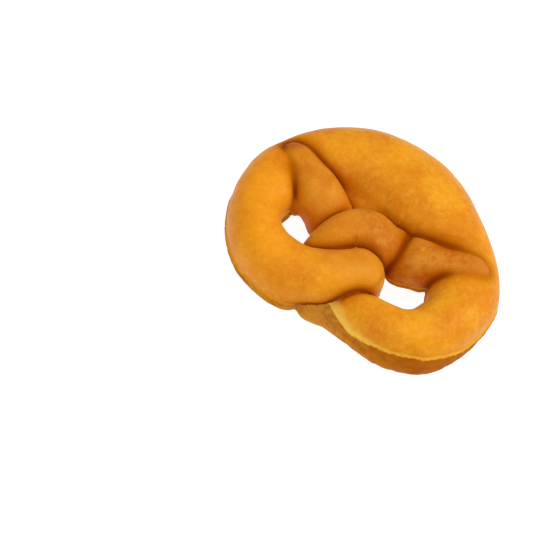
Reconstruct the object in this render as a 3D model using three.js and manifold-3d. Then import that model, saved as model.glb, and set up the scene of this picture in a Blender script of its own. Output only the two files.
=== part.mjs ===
// Soft pretzel, fried: one rope of yeast dough, laid in a loop, twisted twice
// in the middle and folded back on itself, risen and fried so that every place
// where two lengths touch has grown together.
// Millimetres, +Z up, standing on z = 0, origin under the middle of the outline.
import * as THREE from 'three';
import { mergeVertices } from 'three/addons/utils/BufferGeometryUtils.js';
import Module from 'manifold-3d';

// ---- driving dimensions --------------------------------------------------
const MIDDLE = 17;          // height of the widest line of the rope above the table
const FOOT = 1.0;           // how far the round underside is flattened where it rests
const ROUNDNESS = 2.25;     // section of the rope: 2 is an ellipse, more is squarer
const CENTRE = [-0.1, 9.8]; // middle of the outline, measured from the twist
const RING = 26;            // facets round the rope
const CAP = 5;              // facets from the side of an end to its tip
const STEP = 4.6;           // length of a facet along the rope
const CRUST_COLOUR = '#c9812c';

// Each length of rope: [x, y, level, half width, rise, drop].
// level is how far its widest line lies above MIDDLE; rise and drop are how far
// the dough swells above and below that line.
const BELLY = [             // the fat middle of the rope, opposite the twist
  [-56.5, 2, 0, 15.3, 14.7, 17], [-57.6, 12, 0, 14.4, 14, 17], [-54, 23, 0, 15.2, 12.5, 17],
  [-46.5, 33.5, 0, 17, 14, 17], [-34, 41.5, 0, 19.5, 17, 17], [-20, 45.6, 0, 22, 19, 17],
  [-4, 45.3, 0, 23.8, 19.5, 17], [11, 41, 0, 23.8, 19.5, 17], [25, 33.2, 0, 21.8, 18.5, 17],
  [38, 24.2, 0, 20, 16.5, 17], [47.5, 15.5, 0, 18.5, 14.5, 17], [54, 5, 0, 17.5, 15, 17],
  [56, -7, 0, 15.3, 16, 17]];
const LEFT_ARM = [          // round the left loop, over the other arm, down at its end
  [-57.6, 12, 0, 14.4, 14, 17], [-56.5, 2, 0, 15.3, 14.7, 17], [-56, -8, 0, 13.8, 15.2, 17],
  [-51.5, -19, 0, 13.2, 15.5, 17], [-43, -28.2, 0, 13.8, 16, 17],
  [-31, -33.5, 0, 14.6, 16.5, 17], [-17, -33.6, 0, 14.7, 17, 17], [-4, -28, 2, 15, 16, 15.5],
  [5.8, -18.2, 2, 14.5, 15, 16]];
const RIGHT_ARM = [         // round the right loop, under the left arm, up the far side
  [54, 5, 0, 17.5, 15, 17], [56, -7, 0, 15.3, 16, 17], [54.5, -17, 0, 15, 16, 17],
  [50, -27, 0, 14.3, 15.5, 17], [41, -33.2, 0, 12.4, 15, 17], [30, -35, 0, 11.6, 14.7, 17],
  [18.5, -34.1, -1, 10.9, 13.2, 16], [5, -32.2, -4, 11.7, 10, 13],
  [-9, -30.2, -4, 14.6, 10, 13], [-11.5, -12, 0, 13, 13, 14], [-9, -1, 2, 13, 15, 12],
  [-2, 4.8, 3, 12.9, 14.2, 14]];
const CROSSING = [          // the hump in the middle of the twist
  [-11.5, -12, 0, 13, 13, 14], [-9, -1, 2, 13, 15, 12], [-2, 4.8, 3, 12.9, 14.2, 14],
  [5, 5, 2.5, 12.3, 13.8, 15], [10, 5, 2, 12, 13.5, 15], [13, 7.3, 1, 11.3, 13.2, 14]];
const LEFT_END = [          // the tip pressed on the left, and back under the hump to the left arm
  [-55.2, 23.2, 4.5, 9.3, 10.3, 10], [-50.8, 21.6, 3.2, 12, 12.3, 11],
  [-43, 17.6, 2, 12.7, 13.7, 10], [-32.2, 12.3, 1, 12.6, 14.5, 9.5],
  [-19, 5.5, -3, 12.3, 12, 8.5], [-7, -1, -6, 12.5, 10, 10], [3, -10, -5, 13, 11, 12]];
const RIGHT_END = [         // from the fold beside the hump to the tip on the right
  [18.5, 6.8, -1, 12.3, 13, 10], [26, 9, 1, 12.3, 14.8, 11], [33.5, 11.2, 2, 12.6, 14.5, 12.5],
  [42, 13.2, 4, 12, 13.2, 12], [49.5, 14.8, 5.5, 10.2, 12, 12], [53.5, 15, 5.5, 8.4, 11, 10]];
const JOIN = [              // dough squeezed into the gap behind the hump
  [-28, 20, -8, 9, 8, 8], [-17, 19.5, -6, 9, 9, 9], [-6, 20, -6, 9, 9, 9],
  [8, 18.5, -7, 9.5, 8, 9], [19, 16, -7, 9, 8, 9]];
const CORNER = [            // dough squeezed into the corner of the left opening
  [-44, 9, -2, 7.5, 9, 6], [-40.5, 7, -2, 6.8, 9, 5.5]];

// ---- one length of rope ---------------------------------------------------
// A capsule bent along a smooth curve. Its round section is squared off a little
// and stretched to the half width, rise and drop wanted at each place.
function rope(rows) {
  const route = new THREE.CatmullRomCurve3(
    rows.map(([x, y, level]) => new THREE.Vector3(x, y, level + MIDDLE)), false, 'catmullrom', 0.5);
  const swell = new THREE.CatmullRomCurve3(
    rows.map(([, , , half, rise, drop]) => new THREE.Vector3(half, rise, drop)), false, 'catmullrom', 0.5);
  const steps = Math.max(2, Math.round(route.getLength() / STEP));
  const capsule = new THREE.CapsuleGeometry(1, steps, CAP, RING, steps);
  capsule.deleteAttribute('uv');
  capsule.deleteAttribute('normal');
  const geometry = mergeVertices(capsule, 1e-4);
  const place = geometry.attributes.position;
  const point = new THREE.Vector3(), size = new THREE.Vector3(), along = new THREE.Vector3();
  for (let i = 0; i < place.count; i++) {
    const side = place.getX(i), height = place.getZ(i), run = place.getY(i);
    const inside = Math.min(Math.max(run, -steps / 2), steps / 2);
    const beyond = run - inside;
    const t = inside / steps + 0.5;
    route.getPoint(t, point);
    swell.getPoint(t, size);
    route.getTangent(t, along).setZ(0).normalize();
    const flat = Math.hypot(side, beyond);
    const square = 1 / Math.pow(Math.pow(flat, ROUNDNESS) + Math.pow(Math.abs(height), ROUNDNESS), 1 / ROUNDNESS);
    const up = height > 0 ? size.y : size.z * (1 + FOOT / MIDDLE);
    place.setXYZ(i,
      point.x + (along.x * beyond + along.y * side) * size.x * square - CENTRE[0],
      point.y + (along.y * beyond - along.x * side) * size.x * square - CENTRE[1],
      point.z + height * up * square);
  }
  return geometry;
}

// ---- joining and trimming ---------------------------------------------------
const wasm = await Module();
wasm.setup();
function solid(geometry) {
  const clean = mergeVertices(geometry, 1e-4);
  return new wasm.Manifold(new wasm.Mesh({
    numProp: 3,
    vertProperties: Float32Array.from(clean.attributes.position.array),
    triVerts: Uint32Array.from(clean.index.array)
  }));
}

let dough = solid(rope(BELLY));
for (const rows of [LEFT_ARM, RIGHT_ARM, CROSSING, LEFT_END, RIGHT_END, JOIN, CORNER])
  dough = dough.add(solid(rope(rows)));

// the flattened underside
const table = new THREE.BoxGeometry(240, 240, 20);
table.translate(0, 0, -10);
table.deleteAttribute('uv');
table.deleteAttribute('normal');
dough = dough.subtract(solid(table)).simplify(0.02);

const mesh = dough.getMesh();
const geometry = new THREE.BufferGeometry();
geometry.setAttribute('position', new THREE.BufferAttribute(Float32Array.from(mesh.vertProperties), 3));
geometry.setIndex(new THREE.BufferAttribute(Uint32Array.from(mesh.triVerts), 1));
geometry.computeVertexNormals();

const crust = new THREE.MeshStandardMaterial({ color: CRUST_COLOUR, roughness: 0.5, metalness: 0 });
crust.name = 'crust';
const pretzel = new THREE.Mesh(geometry, crust);
pretzel.name = 'pretzel';

const part = new THREE.Group();
part.name = 'soft_pretzel';
part.add(pretzel);
export default part;
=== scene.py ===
# %% [markdown]
# # A fried soft pretzel
#
# The object is one rope of yeast dough, as thick as two fingers and thicker in
# the middle. The baker lays it in a loop, twists the two ends round each other
# and folds them back onto the fat middle. Then it rises and is fried on both
# sides, so it ends up swollen, golden on top and underneath, pale in a line
# along its side, and grown together wherever two lengths touch.
#
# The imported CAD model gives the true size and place. It is loaded first and
# never moved. Everything made here is in metres in that same frame.

# %% Load the fixed frame
import math
import bpy
import numpy as np
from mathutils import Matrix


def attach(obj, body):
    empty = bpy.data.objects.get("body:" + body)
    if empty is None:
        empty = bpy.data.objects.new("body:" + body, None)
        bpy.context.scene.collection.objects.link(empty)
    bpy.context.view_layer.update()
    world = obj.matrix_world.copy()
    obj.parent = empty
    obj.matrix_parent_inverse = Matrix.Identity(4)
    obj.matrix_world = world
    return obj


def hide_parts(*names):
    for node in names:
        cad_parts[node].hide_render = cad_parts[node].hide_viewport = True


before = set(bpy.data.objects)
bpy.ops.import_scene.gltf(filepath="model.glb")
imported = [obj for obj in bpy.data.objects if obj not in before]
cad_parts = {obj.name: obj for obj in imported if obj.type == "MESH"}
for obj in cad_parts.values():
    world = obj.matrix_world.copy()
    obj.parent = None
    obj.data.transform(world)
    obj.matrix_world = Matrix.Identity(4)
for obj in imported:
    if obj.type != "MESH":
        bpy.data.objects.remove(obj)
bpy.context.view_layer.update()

import openvdb
from mathutils import Matrix, Vector, noise

MM = 0.001

# %% [markdown]
# ## The rope of dough
#
# A dough rope is easiest to describe the way a baker handles it: where its
# middle runs, and how fat it is there. Each row below is one place on the rope:
# x, y, level, half width, rise and drop, in millimetres. Level is how far the
# widest line lies above or below the middle height of the pretzel; rise and
# drop are how far the dough swells above and below that line. These are the
# same route points as the CAD solid's, so the two agree.
#
# The long list runs from the blunt end of the left arm, round the left loop,
# through the fat belly, round the right loop, under the left arm, up the far
# side and over the hump of the twist. The two folded ends have lists of their
# own, because deep creases cut them off from the rest.

# %% Route points of the rope
MIDDLE = 17.0        # height of the widest line above the table
FOOT = 1.0           # how far the round underside is flattened where it rests
ROUNDNESS = 2.25     # section of the rope: 2 is an ellipse, more is squarer
CENTRE = (-0.1, 9.8) # middle of the outline, measured from the twist

LEFT_ARM = [
    (5.8, -18.2, 2, 14.5, 15, 16), (-4, -28, 2, 15, 16, 15.5), (-17, -33.6, 0, 14.7, 17, 17),
    (-31, -33.5, 0, 14.6, 16.5, 17), (-43, -28.2, 0, 13.8, 16, 17), (-51.5, -19, 0, 13.2, 15.5, 17),
    (-56, -8, 0, 13.8, 15.2, 17), (-56.5, 2, 0, 15.3, 14.7, 17)]
BELLY = [
    (-57.6, 12, 0, 14.4, 14, 17), (-54, 23, 0, 15.2, 12.5, 17), (-46.5, 33.5, 0, 17, 14, 17),
    (-34, 41.5, 0, 19.5, 17, 17), (-20, 45.6, 0, 22, 19, 17), (-4, 45.3, 0, 23.8, 19.5, 17),
    (11, 41, 0, 23.8, 19.5, 17), (25, 33.2, 0, 21.8, 18.5, 17), (38, 24.2, 0, 20, 16.5, 17),
    (47.5, 15.5, 0, 18.5, 14.5, 17), (54, 5, 0, 17.5, 15, 17)]
RIGHT_ARM = [
    (56, -7, 0, 15.3, 16, 17), (54.5, -17, 0, 15, 16, 17), (50, -27, 0, 14.3, 15.5, 17),
    (41, -33.2, 0, 12.4, 15, 17), (30, -35, 0, 11.6, 14.7, 17), (18.5, -34.1, -1, 10.9, 13.2, 16),
    (5, -32.2, -4, 11.7, 10, 13), (-9, -30.2, -4, 14.6, 10, 13), (-11.5, -12, 0, 13, 13, 14)]
CROSSING = [
    (-9, -1, 2, 13, 15, 12), (-2, 4.8, 3, 12.9, 14.2, 14), (5, 5, 2.5, 12.3, 13.8, 15),
    (10, 5, 2, 12, 13.5, 15), (13, 7.3, 1, 11.3, 13.2, 14)]
LEFT_END = [
    (-55.2, 23.2, 4.5, 9.3, 10.3, 10), (-50.8, 21.6, 3.2, 12, 12.3, 11), (-43, 17.6, 2, 12.7, 13.7, 10),
    (-32.2, 12.3, 1, 12.6, 14.5, 9.5), (-19, 5.5, -3, 12.3, 12, 8.5), (-7, -1, -6, 12.5, 10, 10),
    (3, -10, -5, 13, 11, 12)]
RIGHT_END = [
    (18.5, 6.8, -1, 12.3, 13, 10), (26, 9, 1, 12.3, 14.8, 11), (33.5, 11.2, 2, 12.6, 14.5, 12.5),
    (42, 13.2, 4, 12, 13.2, 12), (49.5, 14.8, 5.5, 10.2, 12, 12), (53.5, 15, 5.5, 8.4, 11, 10)]
JOIN = [   # dough squeezed into the gap behind the hump
    (-28, 20, -8, 9, 8, 8), (-17, 19.5, -6, 9, 9, 9), (-6, 20, -6, 9, 9, 9),
    (8, 18.5, -7, 9.5, 8, 9), (19, 16, -7, 9, 8, 9)]
CORNER = [ # dough squeezed into the corner of the left opening
    (-44, 9.0, -2, 7.5, 9, 6), (-40.5, 7.0, -2, 6.8, 9, 5.5)]
MAIN_ROPE = LEFT_ARM + BELLY + RIGHT_ARM + CROSSING
print("main rope:", len(MAIN_ROPE), "places; ends:", len(LEFT_END), "and", len(RIGHT_END))

# %% [markdown]
# ## A smooth line through the route points
#
# A Catmull-Rom curve passes through every point it is given and bends evenly
# between them, so the rope's fatness can be carried along with its place: all
# six numbers of a row are interpolated together.

# %% Smooth the routes
PER = 16             # places made between one row and the next

def smooth_route(rows):
    """All six numbers of each row, sampled closely along a Catmull-Rom curve."""
    p = np.array(rows, float)
    p = np.vstack([2 * p[0] - p[1], p, 2 * p[-1] - p[-2]])
    t = np.linspace(0, 1, PER, endpoint=False)[:, None]
    spans = [0.5 * (2 * b + (c - a) * t + (2 * a - 5 * b + 4 * c - d) * t**2 + (3 * b - a - 3 * c + d) * t**3)
             for a, b, c, d in zip(p, p[1:], p[2:], p[3:])]
    route = np.vstack(spans + [p[-2][None]])
    route[:, 0] -= CENTRE[0]
    route[:, 1] -= CENTRE[1]
    return route

main = smooth_route(MAIN_ROPE)
cuts = np.cumsum([0, len(LEFT_ARM), len(BELLY), len(RIGHT_ARM), len(CROSSING)]) * PER
LENGTHS = {
    "left arm": main[:cuts[1]], "belly": main[cuts[1] - PER:cuts[2]],
    "right arm": main[cuts[2] - PER:cuts[3]], "crossing": main[cuts[3] - PER:],
    "left end": smooth_route(LEFT_END), "right end": smooth_route(RIGHT_END),
    "join": smooth_route(JOIN), "corner": smooth_route(CORNER)}
rope_mm = np.linalg.norm(np.diff(main[:, :2], axis=0), axis=1).sum()
print("the main rope is", round(rope_mm), "mm long")

# %% [markdown]
# ## Dough as a field of distances
#
# Swept tubes only meet in hard lines, but risen dough flows together. So the
# dough is described as a field: a block of small cells, each holding roughly
# how far it is outside (+) or inside (-) the dough. A length of rope is the
# union of many squashed balls stamped along its route. Fields are easy to
# join, crease and soften, and OpenVDB turns the zero level into a skin.

# %% Stamp each length of rope into its own field
CELL = 0.8           # side of a cell in mm
LOW = np.array([-75.0, -63.0, -2.4])     # two opposite corners of the block
HIGH = np.array([75.0, 63.0, 40.0])
CELLS = np.ceil((HIGH - LOW) / CELL).astype(int)
AXES = [LOW[k] + CELL * np.arange(CELLS[k]) for k in range(3)]
FAR = 30.0           # value of a cell that no ball reaches
MARGIN = 8           # mm round each ball in which its field is worked out

def stamp(route):
    """Field of one length of rope: the nearest of its squashed balls."""
    field = np.full(CELLS, FAR, np.float32)
    for x, y, level, half, rise, drop in route:
        middle = (x, y, level + MIDDLE)
        reach = (half + MARGIN, half + MARGIN, max(rise, drop) + MARGIN)
        part = tuple(slice(max(0, int((middle[k] - reach[k] - LOW[k]) / CELL)),
                           min(CELLS[k], int((middle[k] + reach[k] - LOW[k]) / CELL) + 2)) for k in range(3))
        dx = (AXES[0][part[0]] - middle[0])[:, None, None]
        dy = (AXES[1][part[1]] - middle[1])[None, :, None]
        dz = (AXES[2][part[2]] - middle[2])[None, None, :]
        tall = np.where(dz > 0, dz * (half / rise), dz * (half / (drop * (1 + FOOT / MIDDLE))))
        ball = ((dx * dx + dy * dy) ** (ROUNDNESS / 2) + np.abs(tall) ** ROUNDNESS) ** (1 / ROUNDNESS) - half
        np.minimum(field[part], ball, out=field[part])
    return field

fields = {name: stamp(route) for name, route in LENGTHS.items()}
print("cells:", CELLS.tolist(), "lengths stamped:", len(fields))

# %% [markdown]
# ## Creases where lengths press together
#
# Where two lengths have grown together the skin dives into a narrow crease.
# Along that crease a point is equally far from both lengths, so the difference
# of the two fields is a ready-made measure of how near the crease is. The dough
# is pressed in there, and the same measure is kept to paint shade into the crease
# later, with a second, wider one, called the valley, for painted shade down both
# flanks.
#
# Not all creases are alike. Some pairs press harder than others, both tips have
# half melted into the rope round them, and the dough squeezed behind the hump
# flows smoothly into the belly with no crease at all.

# %% Join the lengths and press in the creases
PRESSED = [
    ("left arm", "right arm"), ("left arm", "crossing"), ("crossing", "left end"), ("crossing", "belly"),
    ("left end", "belly"), ("right end", "belly"), ("crossing", "right end"), ("right end", "left arm"),
    ("left end", "left arm"), ("right end", "right arm"), ("join", "crossing"), ("join", "left end")]
SQUEEZE = {   # how hard some pairs press, against 1 for the rest
    ("left arm", "right arm"): 1.25, ("left end", "left arm"): 0.65, ("right end", "right arm"): 0.65}
TIPS = [(53, 14, 15), (-54, 20, 12)]   # x, y, radius of the melted tips
CREASE_DEEP = 2.0    # mm
CREASE_WIDE = 1.4
VALLEY_WIDE = 5.0
FLOW_REACH = 7.0     # mm over which the squeezed dough flows into the belly

def flow(a, b, reach):
    """Two fields joined by a smooth slope instead of a line."""
    near_both = np.maximum(reach - np.abs(a - b), 0) / reach
    return np.minimum(a, b) - near_both ** 2 * reach / 4

dough = np.minimum.reduce(list(fields.values()) + [flow(fields["belly"], fields["join"], FLOW_REACH)])
crease = np.zeros_like(dough)
valley = np.zeros_like(dough)
for one, other in PRESSED:
    a, b = fields[one], fields[other]
    gap = np.sqrt((a - b) ** 2 + 0.3)   # the 0.3 rounds off the very bottom
    buried = np.maximum(np.minimum(a, b) - dough, 0)
    squeeze = SQUEEZE.get((one, other), 1.0)
    np.maximum(crease, squeeze * np.exp(-gap / CREASE_WIDE - buried), out=crease)
    np.maximum(valley, np.exp(-gap / VALLEY_WIDE - 0.4 * buried), out=valley)
for x, y, radius in TIPS:
    off = np.hypot(AXES[0][:, None] - (x - CENTRE[0]), AXES[1][None, :] - (y - CENTRE[1]))
    crease *= (1 - 0.5 * np.clip(1.5 - 1.5 * off / radius, 0, 1))[:, :, None].astype(np.float32)
dough = dough + CREASE_DEEP * crease

SOFTNESS = 0.55      # mm

def soften(field, sigma):
    """Blurs a field a little, so that no crease is sharper than dough can be."""
    reach = int(3 * sigma / CELL) + 1
    k = np.exp(-0.5 * (np.arange(-reach, reach + 1) * CELL / sigma) ** 2)
    k /= k.sum()
    for axis in range(3):
        padded = np.pad(field, [(reach, reach) if a == axis else (0, 0) for a in range(3)], mode="edge")
        n = field.shape[axis]
        field = sum(w * np.take(padded, range(i, i + n), axis=axis) for i, w in enumerate(k))
        field = field.astype(np.float32)
    return field

dough = soften(dough, SOFTNESS)
dough = np.maximum(dough, -AXES[2][None, None, :])   # cut flat at the table
print("deepest crease:", CREASE_DEEP, "mm")

# %% [markdown]
# ## The skin of the dough
#
# OpenVDB walks through the cells and lays a four-sided face wherever the field
# changes sign. The result is an even net of small squares all over the dough,
# closed everywhere, which is what fine surface detail needs.

# %% Turn the field into a mesh
def skin_of(field):
    """Points in mm and four-sided faces where the field is zero."""
    grid = openvdb.FloatGrid(background=FAR)
    grid.copyFromArray(np.ascontiguousarray(field, dtype=np.float32))
    points, quads = grid.convertToQuads(isovalue=0.0)
    return points * CELL + LOW, np.array(quads)[:, ::-1]

points, quads = skin_of(dough)
sides = [quads[:, [k, (k + 1) % 4]] for k in range(4)]
edges = np.unique(np.sort(np.vstack(sides), axis=1), axis=0)

def relax(values, times):
    """Each point moves half way to the average of its neighbours."""
    count = np.bincount(edges.ravel(), minlength=len(values))[:, None]
    for _ in range(times):
        total = np.zeros_like(values)
        for c in range(values.shape[1]):
            total[:, c] = (np.bincount(edges[:, 0], values[edges[:, 1], c], len(values))
                           + np.bincount(edges[:, 1], values[edges[:, 0], c], len(values)))
        values = 0.5 * values + 0.5 * total / count
    return values

points = relax(points, 2)
points[:, 2] = np.maximum(points[:, 2], 0)
print("skin:", len(points), "points", len(quads), "faces")

def outward(points):
    """Normals at the points, from the diagonals of the faces round them."""
    n = np.cross(points[quads[:, 2]] - points[quads[:, 0]], points[quads[:, 3]] - points[quads[:, 1]])
    total = np.zeros_like(points)
    for c in range(3):
        for corner in range(4):
            total[:, c] += np.bincount(quads[:, corner], n[:, c], len(points))
    return total / np.maximum(np.linalg.norm(total, axis=1, keepdims=True), 1e-9)

normals = outward(points)

# %% [markdown]
# ## Where each point is on the rope
#
# Wrinkles, streaks and the pale line all follow the rope. So every point of the
# skin is told which length it belongs to, how far along the rope it is, how far
# round it is, and how near a crease it lies. These become attributes of the
# mesh that both the relief below and the materials read.

# %% Measure the skin against the rope
def sample(field, at):
    """The field's value at each point, blended from the eight cells round it."""
    g = np.clip((at - LOW) / CELL, 0, np.array(field.shape) - 1.001)
    i = g.astype(int)
    f = g - i
    out = 0
    for corner in range(8):
        step = [(corner >> k) & 1 for k in range(3)]
        w = np.prod([f[:, k] if step[k] else 1 - f[:, k] for k in range(3)], axis=0)
        out = out + w * field[i[:, 0] + step[0], i[:, 1] + step[1], i[:, 2] + step[2]]
    return out

OTHER_RUNS = 400.0   # the main rope is shorter, so the other lengths' runs count on from here
OTHER_STEP = 90.0

names = list(fields)
near = np.stack([sample(fields[name], points) for name in names])
owner = near.argmin(axis=0)
pressed_in = sample(crease, points)
in_valley = sample(valley, points)

start_of = {"left arm": 0, "belly": cuts[1] - PER, "right arm": cuts[2] - PER, "crossing": cuts[3] - PER}
main_run = np.concatenate([[0], np.cumsum(np.linalg.norm(np.diff(main[:, :2], axis=0), axis=1))])
along = np.zeros(len(points))
side = np.zeros(len(points))
around = np.zeros(len(points))
bend = np.zeros(len(points))
for k, name in enumerate(names):
    mine = np.flatnonzero(owner == k)
    if not len(mine):
        continue
    route = LENGTHS[name]
    step = np.gradient(route[:, :2], axis=0)
    heading = np.arctan2(step[:, 1], step[:, 0])
    pace = np.linalg.norm(step, axis=1)
    if name in start_of:
        run = main_run[start_of[name]:start_of[name] + len(route)]
    else:
        run = OTHER_RUNS + OTHER_STEP * k + np.cumsum(pace)
    turn = np.gradient(np.unwrap(heading)) / np.maximum(pace, 0.05)
    for block in np.array_split(mine, max(1, len(mine) // 4000)):
        d = points[block, None, :2] - route[None, :, :2]
        best = (np.hypot(d[..., 0], d[..., 1]) / route[None, :, 3]).argmin(axis=1)
        r, h = route[best], heading[best]
        off = points[block, :2] - r[:, :2]
        across = -off[:, 0] * np.sin(h) + off[:, 1] * np.cos(h)
        level = points[block, 2] - MIDDLE - r[:, 2]
        up = level / np.where(level > 0, r[:, 4], r[:, 5]) * r[:, 3]
        along[block] = run[best]
        side[block] = across / r[:, 3]
        around[block] = np.arctan2(across, up) * r[:, 3]
        bend[block] = turn[best] * across
print("owners:", {name: int((owner == k).sum()) for k, name in enumerate(names)})

# %% [markdown]
# ## The line along the side
#
# A pretzel floats while it fries and is turned once, so the oil browns it from
# both sides and leaves a pale line between. Above the line the skin is smooth
# and swollen. Below it the first-fried side is a little smaller, rougher and
# browner, so the upper skin stands over it like a small ledge. On the right arm
# the rope has rolled, which lifts its line on the outside of the loop, and where
# a length rides up on the rest its line stays low, so less underside shows.

# %% Height of each point above the pale line
def blend(x, low, high):
    """0 below low, 1 above high, and a smooth slope between."""
    t = np.clip((x - low) / (high - low), 0, 1)
    return t * t * (3 - 2 * t)

def bumps(size, seed, at=None, octaves=2):
    """Soft random relief of about that size in mm, from -1 to 1, on the skin."""
    at = points if at is None else at
    shift = Vector((seed * 13.7, seed * 7.1, seed * 3.3))
    return np.array([noise.fractal(Vector(p) / size + shift, 1.0, 2.0, octaves) for p in at])

PAST_ALL = 2000      # a run past the end of every length

ROLL = [  # (run along the main rope, how far the line is lifted on the outside of the loop)
    (0, -2), (60, -1.5), (105, -1), (190, 0), (245, 0.5), (260, 0.8), (265, 1.6), (270, 4.4), (276, 6.8),
    (282, 7.3), (290, 5.6), (300, 3.0), (306, 1.0), (311, 2.2), (315, 4.8), (320, 6.2), (326, 7.5),
    (334, 9.5), (340, 8.5), (348, 1), (374, 0), (PAST_ALL, 0)]
roll = np.interp(along, [r[0] for r in ROLL], [r[1] for r in ROLL])
LINE = 15.5          # height of the line in mm, before it is moved or roughened
LOWER_BY = {"left end": 4.5, "right end": 2.0, "corner": 7.0, "crossing": 3.0, "join": 12.0}

def belonging(reach):
    """How much each point belongs to each length: 1 on its nearest, fading over the reach."""
    return {name: np.exp(-np.maximum(near[k] - near.min(axis=0), 0) / reach) for k, name in enumerate(names)}

pull = belonging(2.0)
lowered = sum(LOWER_BY.get(name, 0) * pull[name] for name in names) / sum(pull.values())
line_height = LINE - lowered + roll * np.clip(side, -1, 1) + 1.0 * bumps(22, 1) + 0.45 * bumps(5, 2)
above_line = points[:, 2] - line_height
print("rope run from", round(along.min()), "to", round(along[along < OTHER_RUNS].max()), "mm")
print("pale line between", round(line_height.min(), 1), "and", round(line_height.max(), 1), "mm up")

# %% [markdown]
# ## Relief of the crust
#
# Every point is now pushed in or out along its normal by a few tenths of a
# millimetre: slow swellings left by rising, fine puckers across the rope on the
# inside of each bend, the ledge at the pale line, a ragged edge where the skin
# meets the table, and a few real folds. Doing this on the points keeps each
# effect separate and easy to change.

# %% Push the relief into the skin
swelling = 0.45 * bumps(30, 3) + 0.22 * bumps(9, 4)

inside_bend = blend(bend, 0.15, 0.75) * blend(above_line, 0, 3)
rope_place = np.stack([along / 1.9, around / 9.0, np.zeros(len(points))], axis=1)
pucker = bumps(1.0, 5, rope_place, 2)
puckers = 0.13 * inside_bend * pucker + 0.03 * pucker * blend(above_line, 0, 3)

below = blend(-above_line, -0.4, 0.7)
rough = bumps(3.2, 6, octaves=3)
ledge = (-0.75 * below * (1 - 0.6 * pressed_in) + 0.28 * below * rough
         + 0.22 * np.exp(-(above_line - 0.9) ** 2 / 1.2))

low_edge = blend(4.5 - points[:, 2], 0, 4)
ragged = 0.55 * low_edge * bumps(4.5, 7, octaves=3)

FOLDS = [  # (points of a fold seen from above, depth, half width)
    ([(-2.8, -5.2), (-1.6, -7.6), (-0.4, -9.8)], 0.7, 0.9),
    ([(16.4, -13.5), (18.0, -17.5), (17.6, -21.5), (15.4, -25.5)], 0.35, 0.9),
    ([(30.5, 20.5), (37.0, 23.5), (44.5, 24.8)], 0.35, 1.0),
    ([(33.0, 25.5), (39.0, 28.0), (44.0, 28.5)], 0.25, 0.9),
    ([(57.0, -20.0), (54.0, -22.0), (50.0, -22.5)], 0.22, 0.9),
    ([(59.0, -24.5), (55.0, -27.0), (51.0, -27.5)], 0.18, 0.8)]

def distance_to_line(at, line):
    """Distance seen from above, in mm, to a line of short straight steps."""
    best = np.full(len(at), 1e9)
    for a, b in zip(line, line[1:]):
        a, b = np.array(a) - CENTRE, np.array(b) - CENTRE
        t = np.clip(((at - a) @ (b - a)) / ((b - a) @ (b - a)), 0, 1)[:, None]
        best = np.minimum(best, np.linalg.norm(at - a - t * (b - a), axis=1))
    return best

folds = np.zeros(len(points))
upper = blend(points[:, 2], 19, 23)
for line, deep, half in FOLDS:
    folds -= deep * np.exp(-(distance_to_line(points[:, :2], line) / half) ** 2) * upper

push = swelling + puckers + ledge + ragged + folds
resting = blend(points[:, 2], 0.0, 1.2)
skin = points + normals * (push * resting)[:, None]
skin[:, 2] = np.maximum(skin[:, 2], 0)
print("relief from", round(float(push.min()), 2), "to", round(float(push.max()), 2), "mm")

# %% [markdown]
# ## The mesh and its attributes
#
# The points become one closed Blender mesh. Its attributes carry the rope's own
# coordinates and the masks, so the materials can be built on them.
#
# Most masks have a cause on the real crust. The folded ends are tan and the tips
# red-brown, because they stand highest. The left loop is painted a purer, brighter
# amber, which stands in for light it lacks on the side away from the key. Where
# the rope rolled, the pale line widens to a bare cream patch. Creases, folds, the
# pit behind the hump and the corner of the left opening get painted shade, dark
# where the dough is pinched and paler where it melted together. Below the line one
# stretch is browned, another is scuffed pale where it rubbed, and one tiny dot is
# scorched.

# %% Build the mesh
def new_mesh(name, points_mm, faces):
    """A smooth-shaded mesh from points in mm, filled in bulk because there are many."""
    me = bpy.data.meshes.new(name)
    me.vertices.add(len(points_mm))
    me.vertices.foreach_set("co", (points_mm * MM).astype(np.float32).ravel())
    me.loops.add(faces.size)
    me.loops.foreach_set("vertex_index", faces.ravel().astype(np.int32))
    me.polygons.add(len(faces))
    me.polygons.foreach_set("loop_start", np.arange(0, faces.size, faces.shape[1], dtype=np.int32))
    me.update(calc_edges=True)
    me.validate()
    me.polygons.foreach_set("use_smooth", np.ones(len(me.polygons), bool))
    return me

def keep(me, name, values):
    """Keeps one number, or one vector, for each point of the mesh."""
    kind = "FLOAT_VECTOR" if values.ndim == 2 else "FLOAT"
    layer = me.attributes.new(name, kind, "POINT")
    layer.data.foreach_set("vector" if values.ndim == 2 else "value", values.astype(np.float32).ravel())

mesh = new_mesh("pretzel_dough", skin, quads)
pretzel = bpy.data.objects.new("pretzel_dough", mesh)
bpy.context.scene.collection.objects.link(pretzel)

def patch(x, y, radius):
    """1 at a place on top of the dough, fading to 0 at the radius."""
    d = np.hypot(points[:, 0] - (x - CENTRE[0]), points[:, 1] - (y - CENTRE[1]))
    return (1 - blend(d, 0.35 * radius, radius)) * blend(above_line, 0, 3)

weight = belonging(1.0)
total_weight = sum(weight.values())

def share(name):
    """1 on one length, fading to 0 across its creases."""
    return weight[name] / total_weight

tan = np.clip(0.85 * share("crossing") + 0.65 * share("left end") + 1.0 * share("right end")
              + 0.45 * patch(3, -19, 20) * share("left arm"), 0, 1)
tips = np.clip(1.0 * patch(-58, 27, 9) * np.clip(share("left end") * 1.5, 0, 1)
               + 0.3 * patch(55, 15, 9) * np.clip(share("right end") * 1.5, 0, 1)
               + 0.15 * patch(46, 16, 14) * share("right end"), 0, 1)

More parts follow.
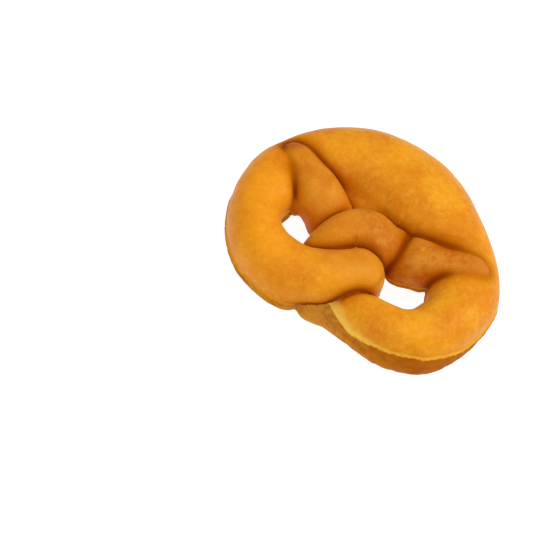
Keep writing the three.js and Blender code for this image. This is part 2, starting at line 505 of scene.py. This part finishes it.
INNER_HALF, INNER_CREAM = 0.8, 0.35   # the pale line inside the loops: half width in mm, strength
OUTER_CREAM = np.array([              # the same outside the loops, after the run along the main rope
    (0, 0.9, 0.3), (55, 0.8, 0.15), (150, 0.9, 0.35), (245, 0.9, 0.25), (268, 0.8, 0.4), (284, 0.8, 0.5),
    (292, 1.0, 0.6), (298, 1.8, 0.85), (304, 3.0, 1.0), (312, 3.6, 1.0), (320, 4.4, 0.95), (328, 3.0, 0.7),
    (340, 1.2, 0.4), (PAST_ALL, 0.8, 0.3)])
outer_side = blend(side, -0.2, 0.3)
cream_half = INNER_HALF + (np.interp(along, OUTER_CREAM[:, 0], OUTER_CREAM[:, 1]) - INNER_HALF) * outer_side
cream = INNER_CREAM + (np.interp(along, OUTER_CREAM[:, 0], OUTER_CREAM[:, 2]) - INNER_CREAM) * outer_side
# painted shade along each fold, stronger where the fold is deeper
fold_shade = np.zeros(len(points))
for line, deep, half in FOLDS:
    off = distance_to_line(points[:, :2], line) / (0.8 * half)
    fold_shade = np.maximum(fold_shade, min(1.0, deep * 1.4) * np.exp(-off ** 2) * upper)
print("tan covers", round(100 * float(tan.mean())), "% of the skin")

# %% Masks for the painted shade in the creases, the marks and the painted light on the amber loop
near_tips = np.clip(patch(52, 12, 20) + patch(-56, 22, 13), 0, 1)
# painted shade: darkens the crease valleys, the pit behind the hump and the corner of the left opening
shaded = np.maximum(np.maximum(in_valley, 0.55 * share("join")), 0.9 * share("corner"))
# painted shade on the inner wall of the left loop, by the corner of the left opening
shaded = np.maximum(shaded, 0.6 * patch(-45, 7, 9) * share("left arm"))
# strength of the painted crease shade, weaker at the two melted tips
pinch_shade = 0.75 - 0.5 * np.clip(patch(52, 12, 16) + patch(-52, 14, 12), 0, 1)

SCUFF = (1, -50)          # x, y of the middle of the scuff, and of the scorched dot
SCORCH = (-10, -51.7)
under_line = blend(-above_line, -1, 1)
from_scuff = np.hypot(points[:, 0] - SCUFF[0], points[:, 1] - SCUFF[1])
from_scorch = np.hypot(points[:, 0] - SCORCH[0], points[:, 1] - SCORCH[1])
# painted light: the top of the left loop is tinted a brighter, purer amber, standing in for light it lacks
# away from the key
amber_painted_light = np.interp(along, [0, 22, 50, 112, 150], [0, 0.3, 1, 1, 0])
amber_painted_light = amber_painted_light * (share("left arm") + share("belly")) * blend(above_line, 2, 7)
print("amber covers", round(100 * float(amber_painted_light.mean())), "% of the skin")

# %% Keep everything as attributes
keep(mesh, "rope", np.stack([along, around, np.zeros(len(points))], axis=1) * MM)
# the valley, crease and fold masks feed painted shade; the amber mask feeds painted light on the left loop
MASKS = {
    "above_line": above_line, "inside_bend": inside_bend, "fold_shade": fold_shade,
    "crease": pressed_in, "pinch_shade": pinch_shade, "valley": shaded * (1 - 0.45 * near_tips),
    "tan": tan, "tips": tips, "amber_painted_light": amber_painted_light, "cream": cream, "cream_half": cream_half,
    "browned": np.interp(along, [252, 266, 286, 302], [0, 1, 1, 0]) * under_line,
    "scuffed": (1 - blend(from_scuff, 8, 26)) * under_line,
    "scorched": (1 - blend(from_scorch, 0.1, 0.9)) * (points[:, 2] > 20)}
for name, values in MASKS.items():
    keep(mesh, name, values)
print("triangles:", 2 * len(mesh.polygons))

# %% [markdown]
# ## Helpers for the materials
#
# Colours are chosen as they look on a screen, so one function turns an sRGB hex
# colour into the linear light that shaders work in. Another adds a node of any
# kind, sets its values and joins its inputs. All node trees below use it.

# %% Colour and node helpers
def colour(hex_code):
    """An sRGB hex colour as linear light, with full opacity."""
    parts = [int(hex_code[i:i + 2], 16) / 255 for i in (1, 3, 5)]
    return tuple(c / 12.92 if c <= 0.04045 else ((c + 0.055) / 1.055) ** 2.4 for c in parts) + (1.0,)

def add(tree, kind, inputs=None, **settings):
    """A new node of any kind; an input may be a value or another node's output."""
    node = tree.nodes.new(kind)
    for name, value in settings.items():
        setattr(node, name, value)
    for key, value in (inputs or {}).items():
        socket = node.inputs[key]
        if isinstance(value, bpy.types.NodeSocket):
            tree.links.new(value, socket)
        else:
            socket.default_value = value
    return node

print("mid grey in linear light:", round(colour("#808080")[0], 3))

# %% [markdown]
# ## Fried dough crust: its patterns
#
# Fried crust is a thin skin of browned sugar and starch over pale crumb, with a
# film of oil on it. It browns unevenly at every size at once: slow clouds as wide
# as the rope, patches, mottling, freckles and specks. Each is a noise pattern
# with the size of its grains in millimetres. Fine streaks run across the rope,
# so they are drawn on the rope's own coordinates. Real pores are finer still;
# here they are as coarse as they must be to show.

# %% Patterns of the crust
PATTERNS = {  # name: (size of a grain in mm, detail, roughness, distortion)
    "clouds": (26.32, 3.0, 0.55, 0.0),
    "patches": (8.333, 4.0, 0.6, 0.0),
    "mottle": (2.941, 3.0, 0.6, 0.6),
    "freckles": (1.111, 3.0, 0.6, 0.0),
    "specks": (0.5882, 2.0, 0.5, 0.0),
    "ragged line": (3.846, 4.0, 0.65, 0.0),
    "lumps": (2.083, 4.0, 0.65, 0.0),
    "pores": (0.6667, 2.0, 0.5, 0.0)}
STREAK_RUN, STREAK_ROUND = 1.613, 6.667   # mm along the rope and round it

def patterns(tree):
    """All the noise patterns of the crust, by name."""
    place = add(tree, "ShaderNodeTexCoord").outputs["Object"]
    found = {}
    for name, (size, detail, roughness, distortion) in PATTERNS.items():
        found[name] = add(tree, "ShaderNodeTexNoise", {
            "Vector": place, "Scale": 1 / (size * MM), "Detail": detail,
            "Roughness": roughness, "Distortion": distortion}).outputs["Fac"]
    rope = add(tree, "ShaderNodeAttribute", attribute_name="rope").outputs["Vector"]
    stretched = add(tree, "ShaderNodeMapping", {
        "Vector": rope, "Scale": (1 / (STREAK_RUN * MM), 1 / (STREAK_ROUND * MM), 1.0)}).outputs["Vector"]
    found["streaks"] = add(tree, "ShaderNodeTexNoise", {
        "Vector": stretched, "Scale": 1.0, "Detail": 3.0, "Roughness": 0.6}).outputs["Fac"]
    return found

# %% [markdown]
# ## Fried dough crust: where each colour lies
#
# A colour needs a mask that says where it lies. The masks come from the patterns
# and from the attributes of the mesh, a small sum at a time, so they are listed
# like the steps of a recipe. FADE goes smoothly from 0 at its first number to 1
# at its second; the other words are Blender's names for sums. A step may use
# any name above it, and may take a name again when the old one is done with.

# %% Steps that make the masks
STEPS = [  # (name, how, what it works on)
    # height above the pale line, in mm, made ragged by about a millimetre
    ("ragged", "SUBTRACT", "ragged line", 0.5),
    ("height", "MULTIPLY_ADD", "ragged", 2.6, "above_line"),
    ("upper side", "FADE", "height", -0.9, 0.1),
    ("lower side", "FADE", "height", 0.5, -1.5),
    # golden top, and the tan of the folded lengths
    ("gold clouds", "FADE", "clouds", 0.36, 0.66),
    ("orange patches", "FADE", "patches", 0.50, 0.72),
    ("orange mottle", "FADE", "mottle", 0.48, 0.70),
    ("pale mottle", "FADE", "mottle", 0.52, 0.32),
    ("tan patches", "FADE", "patches", 0.38, 0.66),
    ("tan mottle", "FADE", "mottle", 0.48, 0.68),
    # blotchy tips
    ("blotches", "FADE", "patches", 0.30, 0.62),
    ("blotches", "MULTIPLY_ADD", "blotches", 0.5, 0.5),
    ("blotchy tips", "MULTIPLY", "tips", "blotches"),
    # streaks, freckles and specks
    ("brown streaks", "FADE", "streaks", 0.50, 0.80),
    ("pale freckles", "FADE", "freckles", 0.58, 0.80),
    ("pale specks", "FADE", "specks", 0.56, 0.72),
    ("brown specks", "FADE", "specks", 0.44, 0.30),
    # creases: painted shade, wide down both flanks, with a line at the bottom and a dark core in it
    ("flank shade", "FADE", "valley", 0.15, 0.85),
    ("press", "MULTIPLY_ADD", "pinch_shade", 0.74, 0.02),
    ("crease shade", "FADE", "crease", 0.06, 0.46),
    ("crease shade", "MULTIPLY", "crease shade", "press"),
    ("press", "MULTIPLY_ADD", "patches", 0.8, 0.4),
    ("press", "MULTIPLY", "pinch_shade", "press"),
    ("crease core shade", "FADE", "crease", 0.28, 0.58),
    ("crease core shade", "MULTIPLY", "crease core shade", "press"),
    # underside
    ("under patches", "FADE", "patches", 0.36, 0.64),
    ("under freckles", "FADE", "freckles", 0.55, 0.75),
    ("under mottle", "FADE", "mottle", 0.50, 0.68),
    ("scuff mottle", "FADE", "mottle", 0.42, 0.62),
    ("scuff mottle", "MULTIPLY_ADD", "scuff mottle", 0.45, 0.30),
    ("mottled scuff", "MULTIPLY", "scuffed", "scuff mottle"),
    # cream line: full at its foot, fading out over its own uneven width
    ("width", "MULTIPLY_ADD", "patches", 1.6, 0.2),
    ("width", "MULTIPLY", "cream_half", "width"),
    ("band", "DIVIDE", "height", "width"),
    ("band", "FADE", "band", 2.0, -0.1),
    ("foot", "FADE", "height", -0.7, 0.1),
    ("band", "MULTIPLY", "band", "foot"),
    ("band", "MULTIPLY", "band", "cream"),
    # relief too fine for the mesh: puckers across the rope, pores, and a lumpy lower side
    ("puckers", "MULTIPLY_ADD", "inside_bend", 1.2, 0.6),
    ("puckers", "MULTIPLY", "streaks", "puckers"),
    ("lumpy", "MULTIPLY_ADD", "lower side", 1.6, 0.35),
    ("lumpy", "MULTIPLY", "lumps", "lumpy"),
    ("relief", "ADD", "puckers", "lumpy"),
    ("relief", "MULTIPLY_ADD", "pores", 0.25, "relief"),
    # shine: oil and a faint bloom on the open top, and none down in the creases
    ("roughness", "MULTIPLY_ADD", "freckles", 0.18, 0.36),
    ("open top", "FADE", "height", 0.0, 6.0),
    ("off the flanks", "FADE", "valley", 0.85, 0.15),
    ("off the bottom", "FADE", "crease", 0.30, 0.04),
    ("open top", "MULTIPLY", "open top", "off the flanks"),
    ("open top", "MULTIPLY", "open top", "off the bottom"),
    ("oil", "MULTIPLY_ADD", "open top", 0.20, 0.01),
    ("bloom", "MULTIPLY", "open top", 0.04)]

def follow_steps(tree, found):
    """Adds one node for each step; found holds the patterns and attributes by name."""
    for name, how, *values in STEPS:
        values = [found[v] if isinstance(v, str) else v for v in values]
        if how == "FADE":
            value, low, high = values
            node = add(tree, "ShaderNodeMapRange", {"Value": value, "From Min": low, "From Max": high},
                       interpolation_type="SMOOTHSTEP")
        else:
            node = add(tree, "ShaderNodeMath", dict(enumerate(values)), operation=how)
        found[name] = node.outputs[0]

print("crust:", len(PATTERNS) + 1, "patterns,", len(MASKS), "masks on the mesh,", len(STEPS), "steps")

# %% [markdown]
# ## Fried dough crust: the layers of colour
#
# The colour is built in layers: slow mottling from yellow to deeper orange,
# amber painted on the left loop as light, tan on the folded lengths, red-brown
# tips, streaks, freckles and specks, painted shade in the creases and folds with
# a dark core where the dough is pinched, a browner underside with one scuff and
# one browned stretch, and the cream line where the oil never reached.

# %% Colours, each laid over the one before it
GOLDEN = "#da8405"
GOLDEN_LAYERS = [  # (mask, strength, colour)
    ("gold clouds", 1.0, "#ea9f16"), ("orange patches", 0.32, "#d66c02"), ("orange mottle", 0.28, "#d87002"),
    # the amber layer is painted light on the left loop
    ("pale mottle", 0.28, "#efb040"), ("amber_painted_light", 0.26, "#f88c00")]
TAN = "#bc5a02"
TAN_LAYERS = [("tan patches", 1.0, "#d48a20"), ("tan mottle", 0.40, "#dc9a40")]
TAN_STRENGTH = 0.85
TOP_LAYERS = [
    ("blotchy tips", 1.0, "#b85a08"), ("brown streaks", 0.26, "#cc6402"), ("pale freckles", 0.26, "#eeac38"),
    # the shade down the flanks, the crease line, its dark core and the folds are painted shade
    ("pale specks", 0.28, "#f0ae3c"), ("brown specks", 0.24, "#bc5602"), ("flank shade", 0.64, "#b05000"),
    ("crease shade", 1.0, "#983e00"), ("crease core shade", 1.0, "#742c00"), ("fold_shade", 0.5, "#a04e02"),
    ("scorched", 0.6, "#8a3c08")]
UNDER = "#ae5e08"
UNDER_LAYERS = [
    ("under patches", 1.0, "#c87e14"), ("under freckles", 0.22, "#cc8c34"), ("under mottle", 0.35, "#c88428"),
    ("browned", 0.55, "#a04804"), ("mottled scuff", 1.0, "#cc8e3a")]
CREAM = "#f4c654"
BLISTER = "#f4c878"

def paint(tree, found, base, layers):
    """Lays each colour over the last, as strongly as its mask says."""
    for mask, strength, over in layers:
        amount = add(tree, "ShaderNodeMath", {0: found[mask], 1: strength}, operation="MULTIPLY").outputs[0]
        over = colour(over) if isinstance(over, str) else over
        base = add(tree, "ShaderNodeMix", {0: amount, 6: base, 7: over}, data_type="RGBA").outputs[2]
    return base

# %% [markdown]
# ## Fried dough crust: the surface
#
# Light goes a few millimetres into the crumb, so nothing is hard or black. The
# oil gives a broad, low shine, broken up by fine puckers, and dry starch adds a
# faint bloom. The blisters take the same crust, a little lighter, because their
# skin is thin.

# %% Crust material
def crust_material(name, lighten=0.0):
    material = bpy.data.materials.new(name)
    material.use_nodes = True
    tree = material.node_tree
    tree.nodes.clear()
    found = patterns(tree)
    for mask in MASKS:
        found[mask] = add(tree, "ShaderNodeAttribute", attribute_name=mask).outputs["Fac"]
    follow_steps(tree, found)

    golden = paint(tree, found, colour(GOLDEN), GOLDEN_LAYERS)
    tan_colour = paint(tree, found, colour(TAN), TAN_LAYERS)
    top = paint(tree, found, golden, [("tan", TAN_STRENGTH, tan_colour)] + TOP_LAYERS)
    under = paint(tree, found, colour(UNDER), UNDER_LAYERS)
    body = paint(tree, found, under, [("upper side", 1.0, top), ("band", 1.0, CREAM)])
    if lighten:
        paler = {0: lighten, 6: body, 7: colour(BLISTER)}
        body = add(tree, "ShaderNodeMix", paler, data_type="RGBA").outputs[2]

    bumped = add(tree, "ShaderNodeBump", {"Strength": 0.38, "Distance": 0.5 * MM, "Height": found["relief"]})
    surface = add(tree, "ShaderNodeBsdfPrincipled", {
        "Base Color": body, "Roughness": found["roughness"], "Normal": bumped.outputs["Normal"],
        "IOR": 1.42, "Specular IOR Level": found["oil"], "Specular Tint": (1.0, 0.93, 0.74, 1.0),
        "Sheen Weight": found["bloom"], "Sheen Roughness": 0.45, "Sheen Tint": (1.0, 0.90, 0.70, 1.0),
        "Subsurface Weight": 0.18, "Subsurface Radius": (1.0, 0.55, 0.2), "Subsurface Scale": 1.8 * MM},
        subsurface_method="RANDOM_WALK")
    add(tree, "ShaderNodeOutputMaterial", {"Surface": surface.outputs["BSDF"]})
    return material

crust = crust_material("fried_dough_crust")
mesh.materials.append(crust)
print("crust nodes:", len(crust.node_tree.nodes))

# %% [markdown]
# ## Blisters in the crust
#
# Steam lifts the skin of fried dough into tiny blisters. They are scattered, so
# Geometry Nodes is the right tool: points are strewn over the upper skin, more
# thickly where a mask says, and a small flat dome is set on each one, turned to
# the surface. The tree has named inputs for the sizes and a fixed seed.

# %% Geometry Nodes tree for blisters
BLISTERS = {  # strewn how thickly and how far apart, radius of the domes in metres, and how flat they are
    "Per square metre": 26000.0, "Closest": 1.6 * MM, "Smallest": 0.22 * MM, "Largest": 0.5 * MM,
    "Flatness": 0.3, "Seed": 11}

def blister_tree(material):
    tree = bpy.data.node_groups.new("blisters", "GeometryNodeTree")
    tree.interface.new_socket("Geometry", in_out="OUTPUT", socket_type="NodeSocketGeometry")
    tree.interface.new_socket("Skin", in_out="INPUT", socket_type="NodeSocketGeometry")
    for name, value in BLISTERS.items():
        kind = "NodeSocketInt" if name == "Seed" else "NodeSocketFloat"
        tree.interface.new_socket(name, in_out="INPUT", socket_type=kind).default_value = value
    start, end = add(tree, "NodeGroupInput"), add(tree, "NodeGroupOutput")
    mask = add(tree, "GeometryNodeInputNamedAttribute", {"Name": "blistered"}, data_type="FLOAT")
    strewn = add(tree, "GeometryNodeDistributePointsOnFaces", {
        "Mesh": start.outputs["Skin"], "Distance Min": start.outputs["Closest"],
        "Density Max": start.outputs["Per square metre"], "Seed": start.outputs["Seed"],
        "Density Factor": mask.outputs["Attribute"]}, distribute_method="POISSON")
    dome = add(tree, "GeometryNodeMeshIcoSphere", {"Radius": 1.0, "Subdivisions": 2})
    smooth = add(tree, "GeometryNodeSetShadeSmooth", {"Geometry": dome.outputs["Mesh"]})
    size = add(tree, "FunctionNodeRandomValue", {
        2: start.outputs["Smallest"], 3: start.outputs["Largest"],
        "Seed": start.outputs["Seed"]}, data_type="FLOAT").outputs[1]
    flat = add(tree, "ShaderNodeMath", {0: size, 1: start.outputs["Flatness"]}, operation="MULTIPLY")
    scale = add(tree, "ShaderNodeCombineXYZ", {"X": size, "Y": size, "Z": flat.outputs[0]})
    placed = add(tree, "GeometryNodeInstanceOnPoints", {
        "Points": strewn.outputs["Points"], "Instance": smooth.outputs["Geometry"],
        "Rotation": strewn.outputs["Rotation"], "Scale": scale.outputs["Vector"]})
    real = add(tree, "GeometryNodeRealizeInstances", {"Geometry": placed.outputs["Instances"]})
    coated = add(tree, "GeometryNodeSetMaterial", {
        "Geometry": real.outputs["Geometry"], "Material": material})
    tree.links.new(coated.outputs["Geometry"], end.inputs["Geometry"])
    return tree

# %% Strew the blisters and keep them as a plain mesh
blistered = 0.05 + 1.0 * patch(26, -35.5, 5) + 0.5 * patch(24, 6, 12) + 0.3 * patch(-30, 12, 14)
blistered = np.clip(blistered, 0, 1)
blistered *= blend(above_line, 2.0, 5.0) * (1 - blend(pressed_in, 0.1, 0.35))
keep(mesh, "blistered", blistered)

def run_tree(name, source, tree, settings):
    """Runs a Geometry Nodes tree on a copy of the object and keeps the result as a mesh."""
    holder = bpy.data.objects.new(name + "_holder", source)
    bpy.context.scene.collection.objects.link(holder)
    modifier = holder.modifiers.new("nodes", "NODES")
    modifier.node_group = tree
    for item in tree.interface.items_tree:
        if item.in_out == "INPUT" and item.name in settings:
            modifier[item.identifier] = settings[item.name]
    ready = holder.evaluated_get(bpy.context.evaluated_depsgraph_get())
    made = bpy.data.meshes.new_from_object(ready)
    made.name = name
    bpy.data.objects.remove(holder)
    piece = bpy.data.objects.new(name, made)
    bpy.context.scene.collection.objects.link(piece)
    return piece

blister_skin = crust_material("blistered_crust", lighten=0.22)
blisters = run_tree("pretzel_blisters", mesh, blister_tree(blister_skin), BLISTERS)
DOME_POINTS = 42     # points of a ball of two subdivisions
domes = len(blisters.data.vertices) // DOME_POINTS
print("blisters:", domes, "domes,", len(blisters.data.polygons), "triangles")

# %% [markdown]
# ## Put the pieces on the frame's body
#
# The dough and its blisters stand in for the plain CAD solid, which is hidden,
# and ride on its one body.

# %% Hand the pieces to the frame
for piece in (pretzel, blisters):
    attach(piece, "root")
    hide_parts("pretzel")
print("pieces:", pretzel.name, "and", blisters.name)

# %% [markdown]
# ## Floor, light and camera
#
# The pretzel is shown as in a plain food catalogue: on a pale sweep under broad
# soft light that leaves hardly any shadow. The sweep is bright enough to light
# the lower sides from below and to give every edge a thin pale rim. Three soft
# lights do the rest: a key on the right for the broad shine, a large one
# overhead, and a fill in front on the left so that the near side stays warm.

# %% Floor
FLOOR_HALF = 3.0         # metres
FLOOR_LEVEL = -0.2 * MM  # just under the pretzel, so the two never share a plane
corners = [(x * FLOOR_HALF, y * FLOOR_HALF, FLOOR_LEVEL) for x, y in ((-1, -1), (1, -1), (1, 1), (-1, 1))]
floor_mesh = bpy.data.meshes.new("floor")
floor_mesh.from_pydata(corners, [], [(0, 1, 2, 3)])
floor = bpy.data.objects.new("floor", floor_mesh)
bpy.context.scene.collection.objects.link(floor)
sweep = bpy.data.materials.new("white_sweep")
sweep.use_nodes = True
board = sweep.node_tree.nodes["Principled BSDF"]
board.inputs["Base Color"].default_value = (0.25, 0.25, 0.25, 1)
board.inputs["Roughness"].default_value = 0.9
board.inputs["Specular IOR Level"].default_value = 0.1
board.inputs["Emission Color"].default_value = (1, 1, 1, 1)
board.inputs["Emission Strength"].default_value = 0.92
floor_mesh.materials.append(sweep)
print("floor", 2 * FLOOR_HALF, "m wide")

# %% Camera
TILT, TURN, LEAN = 54.0, -23.0, 12.0   # degrees: down from level, round the object, and rolled
LENS, STAND_OFF = 100.0, 0.735         # millimetres, metres
SLIDE_ACROSS, SLIDE_OVER = -0.0451, -0.0098   # metres, so the pretzel stands right of the middle
tilt, turn, lean = (math.radians(a) for a in (TILT, TURN, LEAN))
away = Vector((math.sin(turn), math.cos(turn), 0))
right = Vector((math.cos(turn), -math.sin(turn), 0))
forward = away * math.cos(tilt) - Vector((0, 0, 1)) * math.sin(tilt)
upward = right.cross(forward)
across = right * math.cos(lean) + upward * math.sin(lean)
over = -right * math.sin(lean) + upward * math.cos(lean)
aim = Vector((-CENTRE[0] * MM, -CENTRE[1] * MM, MIDDLE * MM))
camera_data = bpy.data.cameras.new("camera")
camera_data.lens = LENS
camera_data.sensor_width = 36.0
camera_data.clip_start = 0.01
camera = bpy.data.objects.new("camera", camera_data)
bpy.context.scene.collection.objects.link(camera)
stand = Matrix((across, over, -forward)).transposed().to_4x4()
stand.translation = aim - forward * STAND_OFF + across * SLIDE_ACROSS + over * SLIDE_OVER
camera.matrix_world = stand
bpy.context.scene.camera = camera
print("camera stands", [round(v, 3) for v in stand.translation])

# %% Lights
WARM_WHITE = (1.0, 0.985, 0.96)
world = bpy.data.worlds.new("soft_surround")
world.use_nodes = True
world.node_tree.nodes["Background"].inputs["Color"].default_value = (*WARM_WHITE, 1)
world.node_tree.nodes["Background"].inputs["Strength"].default_value = 0.30
bpy.context.scene.world = world

def soft_light(name, spot, size, watts):
    """A square of soft light that faces the pretzel."""
    lamp = bpy.data.lights.new(name, "AREA")
    lamp.shape = "SQUARE"
    lamp.size = size
    lamp.energy = watts
    lamp.color = WARM_WHITE
    holder = bpy.data.objects.new(name, lamp)
    bpy.context.scene.collection.objects.link(holder)
    holder.location = spot
    holder.rotation_mode = "QUATERNION"
    holder.rotation_quaternion = (-spot).to_track_quat("-Z", "Y")

soft_light("key", right * 0.85 + away * 0.10 + Vector((0, 0, 0.80)), 0.7, 5.9)
soft_light("overhead", right * 0.25 + away * 0.10 + Vector((0, 0, 1.4)), 1.6, 11.0)
soft_light("fill", -right * 0.5 - away * 1.0 + Vector((0, 0, 1.0)), 1.2, 6.4)
scene = bpy.context.scene
scene.view_settings.view_transform = "Standard"
scene.view_settings.look = "None"
print("lights ready")
